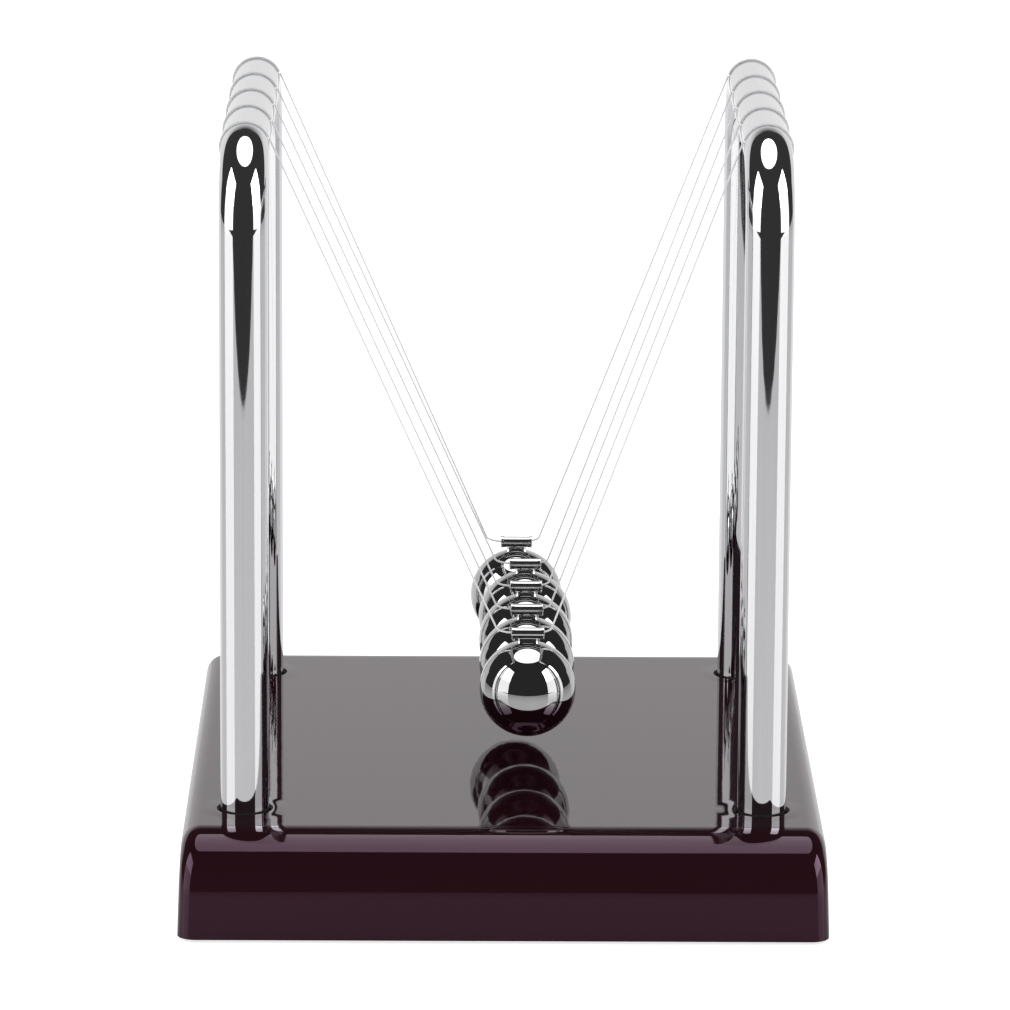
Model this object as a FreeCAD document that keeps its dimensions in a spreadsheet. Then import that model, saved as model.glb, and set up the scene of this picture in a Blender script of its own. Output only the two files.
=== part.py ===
import FreeCAD, Part

# Desk pendulum set with five steel balls in a row. A lacquered block carries two polished rods bent
# into inverted U shapes, and each ball hangs from both rods on one nylon line, which runs down from
# the left rod, through a small steel tube on top of the ball and up to the right rod.
# Millimetres. The origin is the middle of the footprint on the desk, +Z is up, +X runs from the left
# rod to the right rod and +Y runs along the row of balls.

import math
import os

import Sketcher

DIMENSIONS = [
    ("side_inset", 14.5, "leg's axis from the base's side, at its foot"),
    ("end_inset", 28.0, "leg's axis from the base's end, at its foot"),
    ("base_height", 22.8, "base from its underside to its top face"),
    ("nose_radius", 13.5, "rounding of the top edges at the front and back"),
    ("side_radius", 4.2, "rounding along the edges of the two side faces"),
    ("base_draft", 2.0, "lean of the side faces, in degrees"),
    ("pad_border", 2.0, "foot pad beyond the screw pocket that it covers"),
    ("pad_thickness", 0.8, "rubber foot pad"),
    ("rod_diameter", 11.0, "polished rod"),
    ("rod_spacing", 117.0, "between the two rods' centrelines"),
    ("rod_rise", 148.8, "top bar's centreline above the base's top face"),
    ("rod_bend", 16.0, "bend radius of the rod's centreline"),
    ("bar_margin", 0.6, "straight bar beyond the last ball's line"),
    ("socket_web", 4.0, "base left between a leg's foot and its washer"),
    ("socket_clearance", 0.4, "gap round a leg in its socket"),
    ("socket_chamfer", 0.5, "bevel at a socket's mouth"),
    ("thread_diameter", 6.0, "leg screw thread, and the tapped hole in the leg"),
    ("thread_clearance", 0.05, "gap round the screw in the tapped hole"),
    ("thread_depth", 12.0, "tapped hole in the leg"),
    ("screw_grip", 9.0, "length of screw inside the leg"),
    ("shank_clearance", 0.3, "gap round the screw in the base"),
    ("head_diameter", 10.0, "screw head"),
    ("head_height", 3.5, "screw head"),
    ("key_width", 4.0, "hexagon recess across its flats"),
    ("key_depth", 2.0, "hexagon recess"),
    ("washer_diameter", 14.0, "washer under the screw head"),
    ("washer_thickness", 1.2, "washer under the screw head"),
    ("washer_clearance", 0.2, "gap round the screw in the washer"),
    ("counterbore_clearance", 0.5, "gap round the washer"),
    ("counterbore_depth", 6.0, "pocket for washer and head under the base"),
    ("ball_diameter", 22.0, "steel ball"),
    ("ball_gap", 0.2, "between neighbouring balls at rest"),
    ("ball_height", 23.9, "ball centre above the base's top face"),
    ("hang_offset", 5.5, "row of balls from the middle line, towards the right rod"),
    ("last_ball_shift", -1.9, "back ball from the line of the others, towards the right rod"),
    ("tube_diameter", 2.8, "line tube on the ball"),
    ("tube_bore", 1.1, "line tube on the ball"),
    ("tube_length", 7.5, "line tube on the ball"),
    ("tube_height", 1.9, "tube centreline above the ball's crown"),
    ("foot_length", 4.4, "tube foot across the rods"),
    ("foot_width", 1.8, "tube foot along the row"),
    ("line_diameter", 0.45, "nylon line"),
    ("line_gap", 0.03, "between a line and the rod that it wraps"),
    ("line_bend", 2.0, "bend radius of the line beside the tube"),
    ("left_lead", 2.9, "line's corner from the tube's left end"),
    ("right_lead", 1.2, "line's corner from the tube's right end"),
    ("swing_gap", 0.35, "between a wrap's end and the hanging line"),
    ("wrap_angle", 285.0, "how far a line wraps round a rod, in degrees"),
]
BALLS = 5

doc = FreeCAD.newDocument("swinging_balls")
sheet = doc.addObject("Spreadsheet::Sheet", "sizes")
for row, (alias, number, note) in enumerate(DIMENSIONS, start=1):
    sheet.set(f"A{row}", note)
    sheet.set(f"B{row}", str(number))
    sheet.setAlias(f"B{row}", alias)
doc.recompute()
size = {alias: float(sheet.get(alias)) for alias, number, note in DIMENSIONS}

# Sizes that follow from the driving ones, as expressions for the pieces that are bound to the sheet.
# The row of balls sets the length of the bars, and the legs set the size of the base.
PITCH = "(sizes.ball_diameter + sizes.ball_gap)"
ROD_REACH = f"({BALLS - 1} * {PITCH} + 2 * (sizes.rod_bend + sizes.bar_margin))"
BASE_WIDTH = "(sizes.rod_spacing + 2 * sizes.side_inset)"
BASE_LENGTH = f"({ROD_REACH} + 2 * sizes.end_inset)"
BASE_TOP = "(sizes.pad_thickness + sizes.base_height)"
POCKET_TOP = "(sizes.pad_thickness + sizes.counterbore_depth)"
SOCKET_FLOOR = f"({POCKET_TOP} + sizes.socket_web)"
HEAD_TOP = f"({POCKET_TOP} - sizes.washer_thickness)"
TUBE_ABOVE_BALL = "(sizes.ball_diameter / 2 + sizes.tube_height)"

# The same sizes as numbers, for where sketches start from and for the nylon lines.
pitch = size["ball_diameter"] + size["ball_gap"]
rows = [(number - (BALLS + 1) / 2) * pitch for number in range(1, BALLS + 1)]
rod_reach = (BALLS - 1) * pitch + 2 * (size["rod_bend"] + size["bar_margin"])
base_width = size["rod_spacing"] + 2 * size["side_inset"]
base_length = rod_reach + 2 * size["end_inset"]
base_top = size["pad_thickness"] + size["base_height"]
socket_floor = size["pad_thickness"] + size["counterbore_depth"] + size["socket_web"]
bar_height = base_top + size["rod_rise"]
tube_centre = base_top + size["ball_height"] + size["ball_diameter"] / 2 + size["tube_height"]
parts = []


def bind(thing, **expressions):
    """Ties properties of an object to the sheet. A double underscore in a name stands for a dot."""
    for name, expression in expressions.items():
        thing.setExpression(name.replace("__", "."), expression)


def keep(thing, label):
    """Gives a finished sub-part the name that its file takes."""
    thing.Label = label
    parts.append(thing)
    return thing


def origin_plane(body, role):
    return next(item for item in body.Origin.OriginFeatures if item.Role == role)


def sketch_on(body, role, name, lift="0"):
    """A sketch on one of the body's own origin planes, lifted along the plane's normal."""
    sketch = body.newObject("Sketcher::SketchObject", name)
    sketch.AttachmentSupport = [(origin_plane(body, role), "")]
    sketch.MapMode = "FlatFace"
    bind(sketch, AttachmentOffset__Base__z=lift)
    return sketch


def dimension(sketch, name, expression, kind, *where):
    """A driving dimension of a sketch, tied to the sheet."""
    index = sketch.addConstraint(Sketcher.Constraint(kind, *where))
    sketch.renameConstraint(index, name)
    sketch.setExpression(f"Constraints.{name}", expression)


def circle_at(sketch, name, radius, across="0", along="0", start=(0.0, 0.0, 1.0)):
    """A circle whose centre and radius follow the sheet. start is (x, y, radius) to solve from."""
    x, y, r = start
    centre = FreeCAD.Vector(x, y, 0)
    item = sketch.addGeometry(Part.Circle(centre, FreeCAD.Vector(0, 0, 1), r))
    dimension(sketch, f"{name}_radius", radius, "Radius", item, r)
    dimension(sketch, f"{name}_x", across, "DistanceX", -1, 1, item, 3, x)
    dimension(sketch, f"{name}_y", along, "DistanceY", -1, 1, item, 3, y)


def rectangle(sketch, width, length, start):
    """A rectangle centred on the sketch's origin. start is (width, length) to solve from."""
    x, y = start[0] / 2, start[1] / 2
    corners = [(-x, -y), (x, -y), (x, y), (-x, y)]
    for here, there in zip(corners, corners[1:] + corners[:1]):
        sketch.addGeometry(Part.LineSegment(FreeCAD.Vector(*here, 0), FreeCAD.Vector(*there, 0)))
    for side in range(4):
        sketch.addConstraint(Sketcher.Constraint("Coincident", side, 2, (side + 1) % 4, 1))
    for side, way in enumerate(("Horizontal", "Vertical", "Horizontal", "Vertical")):
        sketch.addConstraint(Sketcher.Constraint(way, side))
    sketch.addConstraint(Sketcher.Constraint("Symmetric", 0, 1, 2, 1, -1, 1))
    dimension(sketch, "width", width, "DistanceX", 0, 1, 0, 2, 2 * x)
    dimension(sketch, "length", length, "DistanceY", 1, 1, 1, 2, 2 * y)


def edges_where(shape, test):
    return [f"Edge{number}" for number, edge in enumerate(shape.Edges, start=1) if test(edge)]


def leg_places():
    """The four legs as (name, expression for x, expression for y, x, y)."""
    for side, x_sign in (("left", -1), ("right", 1)):
        for end, y_sign in (("front", -1), ("back", 1)):
            yield (
                f"{side}_{end}",
                f"{x_sign} * sizes.rod_spacing / 2",
                f"{y_sign} * {ROD_REACH} / 2",
                x_sign * size["rod_spacing"] / 2,
                y_sign * rod_reach / 2,
            )


def place_on_legs(thing, side_x, side_y, height):
    """Puts a fastener's own origin on a leg's axis at a height."""
    bind(thing, Placement__Base__x=side_x, Placement__Base__y=side_y, Placement__Base__z=height)


def make_base():
    """Block with leaning sides and a round nose at the front and back, four sockets from above and
    screw holes below."""
    body = doc.addObject("PartDesign::Body", "base_body")
    outline = sketch_on(body, "XY_Plane", "base_outline", "sizes.pad_thickness")
    rectangle(outline, BASE_WIDTH, BASE_LENGTH, (base_width, base_length))
    block = body.newObject("PartDesign::Pad", "base_block")
    block.Profile = (outline, [""])
    bind(block, Length="sizes.base_height", TaperAngle="-sizes.base_draft")
    doc.recompute()

    noses = body.newObject("PartDesign::Fillet", "base_noses")
    noses.Base = (block, edges_where(block.Shape, is_nose))
    bind(noses, Radius="sizes.nose_radius")
    doc.recompute()

    side_edges = body.newObject("PartDesign::Fillet", "base_side_edges")
    side_edges.Base = (noses, edges_where(noses.Shape, bounds_a_side))
    bind(side_edges, Radius="sizes.side_radius")
    doc.recompute()

    holes = [
        (
            "socket",
            BASE_TOP,
            "sizes.rod_diameter / 2 + sizes.socket_clearance",
            f"{BASE_TOP} - {SOCKET_FLOOR}",
            False,
        ),
        (
            "counterbore",
            "sizes.pad_thickness",
            "sizes.washer_diameter / 2 + sizes.counterbore_clearance",
            "sizes.counterbore_depth",
            True,
        ),
        (
            "screw_hole",
            "sizes.pad_thickness",
            "sizes.thread_diameter / 2 + sizes.shank_clearance",
            "sizes.base_height",
            True,
        ),
    ]
    for name, lift, radius, depth, upwards in holes:
        sketch = sketch_on(body, "XY_Plane", f"{name}_circles", lift)
        for leg, across, along, x, y in leg_places():
            circle_at(sketch, leg, radius, across, along, (x, y, size["rod_diameter"] / 2))
        pocket = body.newObject("PartDesign::Pocket", f"{name}_pocket")
        pocket.Profile = (sketch, [""])
        pocket.Reversed = upwards
        bind(pocket, Length=depth)
        doc.recompute()

    mouths = body.newObject("PartDesign::Chamfer", "socket_mouths")
    mouths.Base = (pocket, edges_where(pocket.Shape, is_socket_mouth))
    bind(mouths, Size="sizes.socket_chamfer")
    doc.recompute()
    keep(body, "base")


def lies_at(height):
    """A test for edges that lie level at a height."""
    return lambda edge: all(abs(vertex.Z - height) < 1e-4 for vertex in edge.Vertexes)


def is_nose(edge):
    """True for the top edges that run across the block's front and back."""
    return lies_at(base_top)(edge) and edge.BoundBox.XLength > edge.BoundBox.YLength


def bounds_a_side(edge):
    """True for the edges of the two leaning side faces, apart from those on the underside."""
    lean = math.tan(math.radians(size["base_draft"]))
    on_side = all(
        abs(base_width / 2 - lean * (vertex.Z - size["pad_thickness"]) - abs(vertex.X)) < 1e-4
        for vertex in edge.Vertexes
    )
    one_side = edge.BoundBox.XLength < base_width / 2
    return on_side and one_side and not lies_at(size["pad_thickness"])(edge)


def is_socket_mouth(edge):
    """True for a full circle of the socket's size in the top face."""
    radius = size["rod_diameter"] / 2 + size["socket_clearance"]
    round_edge = isinstance(edge.Curve, Part.Circle) and abs(edge.Curve.Radius - radius) < 1e-4
    return round_edge and lies_at(base_top)(edge)


def make_foot_pads():
    """Four rubber discs stuck over the screw pockets, grouped in one node."""
    pads = []
    for leg, across, along, x, y in leg_places():
        pad = doc.addObject("Part::Cylinder", f"pad_{leg}")
        pocket_radius = "(sizes.washer_diameter / 2 + sizes.counterbore_clearance)"
        bind(pad, Radius=f"{pocket_radius} + sizes.pad_border", Height="sizes.pad_thickness")
        place_on_legs(pad, across, along, "0")
        pads.append(pad)
    group(pads, "foot_pads")


def group(things, label):
    """Several identical loose pieces that share one node."""
    compound = doc.addObject("Part::Compound", f"{label}_group")
    compound.Links = things
    keep(compound, label)


def rod_path(body):
    """Centreline of a rod in its own upright plane: leg, bend, top bar, bend, leg."""
    sketch = sketch_on(body, "YZ_Plane", f"{body.Name}_path")
    half, bend = rod_reach / 2, size["rod_bend"]
    low, high = socket_floor, bar_height

    def point(along, height):
        return FreeCAD.Vector(along, height, 0)

    def corner(along, first, last):
        circle = Part.Circle(point(along, high - bend), FreeCAD.Vector(0, 0, 1), bend)
        return Part.ArcOfCircle(circle, first, last)

    sketch.addGeometry(Part.LineSegment(point(-half, low), point(-half, high - bend)))
    sketch.addGeometry(corner(-half + bend, math.pi / 2, math.pi))
    sketch.addGeometry(Part.LineSegment(point(-half + bend, high), point(half - bend, high)))
    sketch.addGeometry(corner(half - bend, 0, math.pi / 2))
    sketch.addGeometry(Part.LineSegment(point(half, high - bend), point(half, low)))
    joins = [(0, 2, 1, 2), (1, 1, 2, 1), (2, 2, 3, 2), (3, 1, 4, 1)]
    for first, first_end, second, second_end in joins:
        sketch.addConstraint(
            Sketcher.Constraint("Tangent", first, first_end, second, second_end)
        )
    sketch.addConstraint(Sketcher.Constraint("Vertical", 0))
    sketch.addConstraint(Sketcher.Constraint("Vertical", 4))
    sketch.addConstraint(Sketcher.Constraint("Equal", 1, 3))
    sketch.addConstraint(Sketcher.Constraint("Symmetric", 0, 1, 4, 2, -2))
    dimension(sketch, "reach", ROD_REACH, "DistanceX", 0, 1, 4, 2, 2 * half)
    dimension(sketch, "bend", "sizes.rod_bend", "Radius", 1, bend)
    dimension(sketch, "foot", SOCKET_FLOOR, "DistanceY", -1, 1, 0, 1, low)
    dimension(sketch, "top", f"{BASE_TOP} + sizes.rod_rise", "DistanceY", -1, 1, 2, 1, high)
    return sketch


def make_rod(label, side):
    """Polished rod bent into an inverted U, with a tapped hole in each foot."""
    body = doc.addObject("PartDesign::Body", f"{label}_body")
    profile = sketch_on(body, "XY_Plane", f"{label}_section", SOCKET_FLOOR)
    half = rod_reach / 2
    radius = size["rod_diameter"] / 2
    foot = f"-{ROD_REACH} / 2"
    circle_at(profile, "rod", "sizes.rod_diameter / 2", "0", foot, (0, -half, radius))
    path = rod_path(body)
    pipe = body.newObject("PartDesign::AdditivePipe", f"{label}_pipe")
    pipe.Profile = (profile, [""])
    pipe.Spine = (path, [""])
    doc.recompute()
    holes = sketch_on(body, "XY_Plane", f"{label}_threads", SOCKET_FLOOR)
    for end, sign in (("front", -1), ("back", 1)):
        circle_at(
            holes,
            end,
            "sizes.thread_diameter / 2",
            "0",
            f"{sign} * {ROD_REACH} / 2",
            (0, sign * half, radius / 2),
        )
    pocket = body.newObject("PartDesign::Pocket", f"{label}_tapped_holes")
    pocket.Profile = (holes, [""])
    pocket.Reversed = True
    bind(pocket, Length="sizes.thread_depth")
    bind(body, Placement__Base__x=f"{side} * sizes.rod_spacing / 2")
    keep(body, label)


def make_leg_washers():
    """A plain washer for each leg screw."""
    washers = []
    for leg, across, along, x, y in leg_places():
        disc = doc.addObject("Part::Cylinder", f"washer_disc_{leg}")
        bind(disc, Radius="sizes.washer_diameter / 2", Height="sizes.washer_thickness")
        hole = doc.addObject("Part::Cylinder", f"washer_hole_{leg}")
        bind(
            hole,
            Radius="sizes.thread_diameter / 2 + sizes.washer_clearance",
            Height="sizes.washer_thickness",
        )
        washer = doc.addObject("Part::Cut", f"washer_{leg}")
        washer.Base = disc
        washer.Tool = hole
        place_on_legs(washer, across, along, HEAD_TOP)
        washers.append(washer)
    group(washers, "leg_washers")


def make_leg_screws():
    """Socket-head screws that hold the legs from below, plain where the thread would be."""
    screws = []
    for leg, across, along, x, y in leg_places():
        head = doc.addObject("Part::Cylinder", f"screw_head_{leg}")
        bind(
            head,
            Radius="sizes.head_diameter / 2",
            Height="sizes.head_height",
            Placement__Base__z="-sizes.head_height",
        )
        shank = doc.addObject("Part::Cylinder", f"screw_shank_{leg}")
        bind(
            shank,
            Radius="sizes.thread_diameter / 2 - sizes.thread_clearance",
            Height=f"{SOCKET_FLOOR} - {HEAD_TOP} + sizes.screw_grip",
        )
        solid = doc.addObject("Part::Fuse", f"screw_solid_{leg}")
        solid.Base = head
        solid.Tool = shank
        key = doc.addObject("Part::Prism", f"screw_key_{leg}")
        key.Polygon = 6
        bind(
            key,
            Circumradius="sizes.key_width / sqrt(3)",
            Height="sizes.key_depth",
            Placement__Base__z="-sizes.head_height",
        )
        screw = doc.addObject("Part::Cut", f"screw_{leg}")
        screw.Base = solid
        screw.Tool = key
        place_on_legs(screw, across, along, HEAD_TOP)
        screws.append(screw)
    group(screws, "leg_screws")


def place_in_row(thing, number, height):
    """Puts a ball's piece on the row, at a height expression above the desk."""
    step = number - (BALLS + 1) / 2
    shift = " + sizes.last_ball_shift" if number == BALLS else ""
    bind(
        thing,
        Placement__Base__x=f"sizes.hang_offset{shift}",
        Placement__Base__y=f"{step} * {PITCH}",
        Placement__Base__z=height,
    )


def make_ball(number):
    """Polished steel ball."""
    ball = doc.addObject("Part::Sphere", f"steel_ball_{number}")
    bind(ball, Radius="sizes.ball_diameter / 2")
    place_in_row(ball, number, f"{BASE_TOP} + sizes.ball_height")
    keep(ball, f"ball_{number}")


def make_line_tube(number):
    """Short tube on a small foot whose underside is hollowed to sit on the ball's crown."""
    tag = f"tube_{number}"
    barrel = doc.addObject("Part::Cylinder", f"{tag}_barrel")
    bore = doc.addObject("Part::Cylinder", f"{tag}_bore")
    foot = doc.addObject("Part::Box", f"{tag}_foot")
    seat = doc.addObject("Part::Sphere", f"{tag}_seat")
    for rod, diameter in ((barrel, "sizes.tube_diameter"), (bore, "sizes.tube_bore")):
        rod.Placement.Rotation = FreeCAD.Rotation(FreeCAD.Vector(0, 1, 0), 90)
        bind(
            rod,
            Radius=f"{diameter} / 2",
            Height="sizes.tube_length",
            Placement__Base__x="-sizes.tube_length / 2",
            Placement__Base__z=TUBE_ABOVE_BALL,
        )
    foot_drop = "(sizes.tube_height + sizes.foot_length / 4)"
    bind(
        foot,
        Length="sizes.foot_length",
        Width="sizes.foot_width",
        Height=foot_drop,
        Placement__Base__x="-sizes.foot_length / 2",
        Placement__Base__y="-sizes.foot_width / 2",
        Placement__Base__z=f"{TUBE_ABOVE_BALL} - {foot_drop}",
    )
    bind(seat, Radius="sizes.ball_diameter / 2")
    solid = doc.addObject("Part::Fuse", f"{tag}_solid")
    solid.Base = barrel
    solid.Tool = foot
    seated = doc.addObject("Part::Cut", f"{tag}_seated")
    seated.Base = solid
    seated.Tool = seat
    tube = doc.addObject("Part::Cut", tag)
    tube.Base = seated
    tube.Tool = bore
    place_in_row(tube, number, f"{BASE_TOP} + sizes.ball_height")
    keep(tube, f"line_tube_{number}")


def tangent_to_rod(side, corner):
    """Where a straight line from corner meets the wrap on a rod, and its direction up to there.

    The wrap's centreline is a circle round the rod. The line leaves it on the inner side, where the
    circle's radius stands square to the line."""
    centre = FreeCAD.Vector(side * size["rod_spacing"] / 2, 0, bar_height)
    radius = wrap_radius()
    away = corner - centre
    lean = math.atan2(-side * away.x, -away.z) - math.asin(radius / away.Length)
    normal = FreeCAD.Vector(-side * math.cos(lean), 0, math.sin(lean))
    up = FreeCAD.Vector(side * math.sin(lean), 0, math.cos(lean))
    return centre + normal * radius, up, lean


def wrap_radius():
    return size["rod_diameter"] / 2 + size["line_diameter"] / 2 + size["line_gap"]


def line_corners(number):
    """A line's two corners beside its tube, on the tube's axis."""
    middle, half = size["hang_offset"], size["tube_length"] / 2
    if number == BALLS:
        middle += size["last_ball_shift"]
    left = FreeCAD.Vector(middle - half - size["left_lead"], 0, tube_centre)
    right = FreeCAD.Vector(middle + half + size["right_lead"], 0, tube_centre)
    return left, right


def rounded_corner(before, corner, after, radius):
    """An arc that joins two straight runs. Returns its first point, the arc and its last point."""
    back = (before - corner).normalize()
    onward = (after - corner).normalize()
    half_angle = back.getAngle(onward) / 2
    cut = radius / math.tan(half_angle)
    middle = (back + onward).normalize() * (radius / math.sin(half_angle) - radius)
    first, last = corner + back * cut, corner + onward * cut
    return first, Part.Arc(first, corner + middle, last).toShape(), last


def swept_round(path, diameter):
    """A round bar of a diameter that follows a wire."""
    start = path.Edges[0].firstVertex().Point
    heading = path.Edges[0].tangentAt(path.Edges[0].FirstParameter)
    section = Part.Wire(Part.makeCircle(diameter / 2, start, heading))
    return path.makePipeShell([section], True, False)


def make_hanging_line(number):
    """Nylon line in a V, from just under the left wrap through the tube to the right wrap."""
    left, right = line_corners(number)
    left_top, left_up, _ = tangent_to_rod(-1, left)
    right_top, right_up, _ = tangent_to_rod(1, right)
    start = left_top - left_up * size["swing_gap"]
    end = right_top - right_up * size["swing_gap"]
    bend = size["line_bend"]
    left_in, left_arc, left_out = rounded_corner(start, left, right, bend)
    right_in, right_arc, right_out = rounded_corner(left, right, end, bend)
    runs = [(start, left_in), (left_out, right_in), (right_out, end)]
    straight = [Part.LineSegment(first, last).toShape() for first, last in runs]
    path = Part.Wire([straight[0], left_arc, straight[1], right_arc, straight[2]])
    line = doc.addObject("Part::Feature", f"nylon_line_{number}")
    line.Shape = swept_round(path, size["line_diameter"])
    line.Placement.Base = FreeCAD.Vector(0, rows[number - 1], 0)
    keep(line, f"line_{number}")
    area = math.pi * size["line_diameter"] ** 2 / 4
    print("hanging line length", round(path.Length, 2), "mm, bend radius", bend)
    print("line volume over section times length", line.Shape.Volume / area / path.Length)
    print("pivot heights", round(left_top.z, 3), round(right_top.z, 3))


def make_wrap(label, side, number):
    """End of a nylon line, wound over the rod from where the line leaves it."""
    corner = line_corners(number)[0 if side < 0 else 1]
    _, _, lean = tangent_to_rod(side, corner)
    centre = FreeCAD.Vector(side * size["rod_spacing"] / 2, 0, bar_height)
    radius = wrap_radius()
    angles = [lean + math.radians(size["wrap_angle"]) * share for share in (0, 0.5, 1)]
    points = [
        centre + FreeCAD.Vector(-side * math.cos(angle), 0, math.sin(angle)) * radius
        for angle in angles
    ]
    path = Part.Wire([Part.Arc(*points).toShape()])
    wrap = doc.addObject("Part::Feature", f"{label}_{number}_shape")
    wrap.Shape = swept_round(path, size["line_diameter"])
    wrap.Placement.Base = FreeCAD.Vector(0, rows[number - 1], 0)
    keep(wrap, f"{label}_{number}")


def check(things):
    """Stops unless every object of the document is sound and every sub-part is a valid shape."""
    for thing in doc.Objects:
        if "Invalid" in thing.State or "Error" in thing.State:
            raise RuntimeError(f"{thing.Name} failed: {thing.State}")
    for thing in things:
        if thing.Shape.isNull() or not thing.Shape.isValid():
            raise RuntimeError(f"{thing.Label} has no valid shape")


make_base()
make_foot_pads()
make_rod("left_rod", -1)
make_rod("right_rod", 1)
make_leg_washers()
make_leg_screws()
for ball_number in range(1, BALLS + 1):
    make_ball(ball_number)
    make_line_tube(ball_number)
    make_hanging_line(ball_number)
    make_wrap("left_wrap", -1, ball_number)
    make_wrap("right_wrap", 1, ball_number)
doc.recompute()
check(parts)

os.makedirs("parts", exist_ok=True)
for part in parts:
    part.Shape.exportStep(f"parts/{part.Label}.step")
    print(part.Label, len(part.Shape.Solids), "solids", round(part.Shape.Volume, 2), "mm3")
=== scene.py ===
import math

import bpy
import numpy as np
from mathutils import Matrix, Vector


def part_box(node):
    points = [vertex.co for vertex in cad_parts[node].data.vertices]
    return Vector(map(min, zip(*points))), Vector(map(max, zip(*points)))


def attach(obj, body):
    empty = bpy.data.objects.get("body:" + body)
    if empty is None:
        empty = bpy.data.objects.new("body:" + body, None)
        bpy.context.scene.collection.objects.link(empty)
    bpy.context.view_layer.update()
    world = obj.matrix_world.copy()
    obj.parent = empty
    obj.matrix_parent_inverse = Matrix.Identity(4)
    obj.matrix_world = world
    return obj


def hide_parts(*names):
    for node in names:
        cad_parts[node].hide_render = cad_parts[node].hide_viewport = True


# A desk cradle of five polished steel balls. Each ball hangs on a V of clear nylon line from two
# chromed rods, which are bent to an inverted U and stand in a block with a dark plum lacquer.
# Metres throughout. +X runs from the left rod to the right rod, +Y along the row of balls.

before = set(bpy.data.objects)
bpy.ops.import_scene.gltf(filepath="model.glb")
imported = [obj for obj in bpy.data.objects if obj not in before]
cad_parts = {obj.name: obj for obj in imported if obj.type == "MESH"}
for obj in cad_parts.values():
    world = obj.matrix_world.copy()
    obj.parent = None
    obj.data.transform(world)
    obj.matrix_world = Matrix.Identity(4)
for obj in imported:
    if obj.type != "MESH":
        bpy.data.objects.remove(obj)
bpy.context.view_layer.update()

MM = 0.001
BALLS = 5

# Places that follow from the frame.
ROD_LOW, ROD_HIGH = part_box("left_rod")
ROD_RADIUS = (ROD_HIGH.x - ROD_LOW.x) / 2
ROD_ACROSS = -(ROD_HIGH.x + ROD_LOW.x) / 2
LEG_ALONG = ROD_HIGH.y - ROD_RADIUS
BAR_HEIGHT = ROD_HIGH.z - ROD_RADIUS
LEG_FOOT = ROD_LOW.z
BASE_LOW, BASE_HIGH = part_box("base")
TUBE_LOW, TUBE_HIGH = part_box("line_tube_1")
TUBE_RADIUS = (TUBE_HIGH.y - TUBE_LOW.y) / 2

# Sizes of the pieces.
ROD_BEND = 16 * MM
FOOT_BEVEL = 0.5 * MM
THREAD_RADIUS = 3 * MM
THREAD_DEPTH = 12 * MM
NOSE_RADIUS = 13.5 * MM
SIDE_RADIUS = 4.2 * MM
LEAN = math.radians(2)
SOCKET_RADIUS = 5.9 * MM
SOCKET_BEVEL = 0.5 * MM
BEAD_WIDTH = 5 * MM
BEAD_HEIGHT = 0.07 * MM
POCKET_RADIUS = 7.5 * MM
POCKET_DEPTH = 6 * MM
SCREW_HOLE_RADIUS = 3.3 * MM
TUBE_BORE = 0.55 * MM
TUBE_LENGTH = 7.5 * MM
TUBE_LIP = 0.6 * MM
TUBE_LIP_HEIGHT = 0.1 * MM
TUBE_EDGE_RADIUS = 0.12 * MM
FOOT_LENGTH = 4.4 * MM
FOOT_WIDTH = 1.8 * MM
FOOT_FLARE = 0.35 * MM
FOOT_SQUARENESS = 0.45  # 1 makes the foot's outline an ellipse and 0 a rectangle
FOOT_SINK = 0.04 * MM  # how far the weld draws the foot into the ball
FOOT_TOP = 0.6  # the foot's top below the tube's axis, as a share of the tube's radius
LINE_RADIUS = 0.225 * MM
LINE_GAP = 0.03 * MM
LEFT_LEAD = 2.9 * MM
RIGHT_LEAD = 1.2 * MM
SWING_GAP = 0.35 * MM
WRAP_ANGLE = math.radians(285)
WRAP_RADIUS = ROD_RADIUS + LINE_RADIUS + LINE_GAP
CORNER_HOLD = 12 * LINE_RADIUS  # a line is straight again this far from its corner

# How finely the surfaces are worked out.
ROUND_STEPS = 96
BEND_STEPS = 48
BALL_STEPS = 96
NOSE_STEPS = 40
EDGE_STEPS = 16
TUBE_STEPS = 48
TUBE_EDGE_STEPS = 5
FOOT_LEVELS = 9
WRAP_STEPS = 12
HELD = 0.3 * MM  # a strip this wide beside each curve keeps the flat next to it flat
SHARP = math.radians(32)

# The camera, measured from the middle of the base's top face.
CAMERA_BACK = 1501.7 * MM
CAMERA_LEFT = 10.9 * MM
CAMERA_ABOVE_BASE = 408.9 * MM
CAMERA_YAW = 0.00755
CAMERA_PITCH = 0.2306
CAMERA_ROLL = 0.006
LENS = 235.4
SENSOR = 36

# The studio. Compass angles are from the front, positive to the right, in degrees.
SKY = 1.0
FLOOR_REACH = 6.0
FLOOR_DROP = 0.05 * MM
TABLE_FRONT = -603 * MM
TABLE_BACK = 1.6
TABLE_SIDE = 1.8
ROOM_RADIUS = 3.5
ROOM_GLOW = 0.045
BACKDROP_RADIUS = 1.6
BACKDROP_SPREAD = 56
BACKDROP_FOOT = -0.4
BACKDROP_END_HEIGHT = 0.35
BACKDROP_RISE = 1.43
BACKDROP_GLOW = 0.91
FADE_START = 0.5
FADE_END = 1.3
BOX_REACH = 1.6
BOX_HEIGHT = 1.84
BOX_DIM_HEIGHT = 0.75
BOX_FOOT_GLOW = 2.0
LEFT_BOX_COMPASS = -69
LEFT_BOX_WIDTH = 1.32
LEFT_BOX_GLOW = 4.5
RIGHT_BOX_COMPASS = 70
RIGHT_BOX_WIDTH = 1.26
RIGHT_BOX_GLOW = 6.5
LAMP_SIZE = 0.94
LAMP_PLACE = (0, 0.16, 1.1)
LAMP_GLOW = 3.0


# ---------------------------------------------------------------- surfaces


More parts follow.
